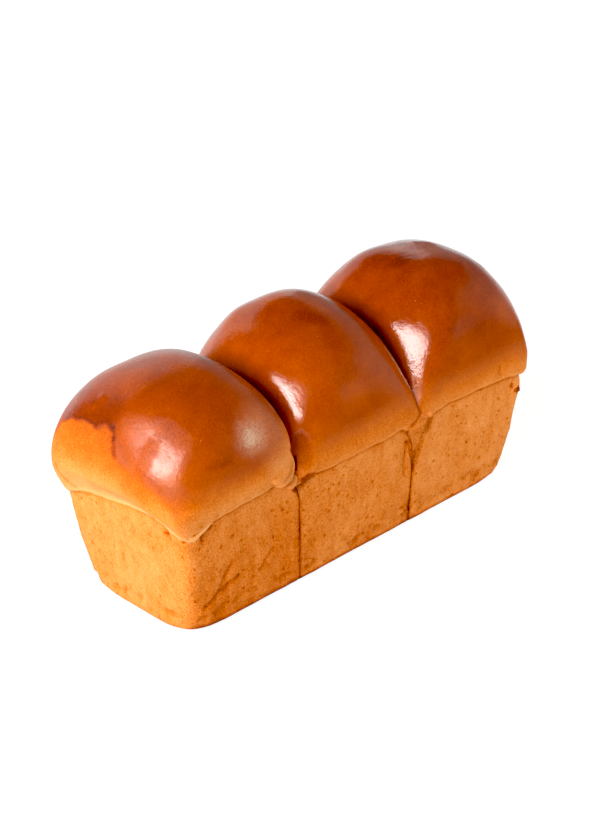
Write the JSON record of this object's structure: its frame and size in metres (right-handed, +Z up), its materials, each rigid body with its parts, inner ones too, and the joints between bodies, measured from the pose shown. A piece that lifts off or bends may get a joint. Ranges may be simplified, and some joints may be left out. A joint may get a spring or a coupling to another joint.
{
  "type": "brioche loaf",
  "caption": "Glossy egg-washed brioche baked in a tin: round domed balls of dough side by side, joined above flat, pitted golden walls with rounded base corners",
  "frame": {"origin": "middle of the tin's footprint, on the flat base", "axes": "+X along the loaf from the near ball to the far ball, +Y across it away from the long side that the picture shows, +Z up"},
  "size_m": [0.2517, 0.1069, 0.1306],
  "materials": {
    "crust": null
  },
  "bodies": {
    "root": {"loaf": "crust"}
  },
  "joints": []
}
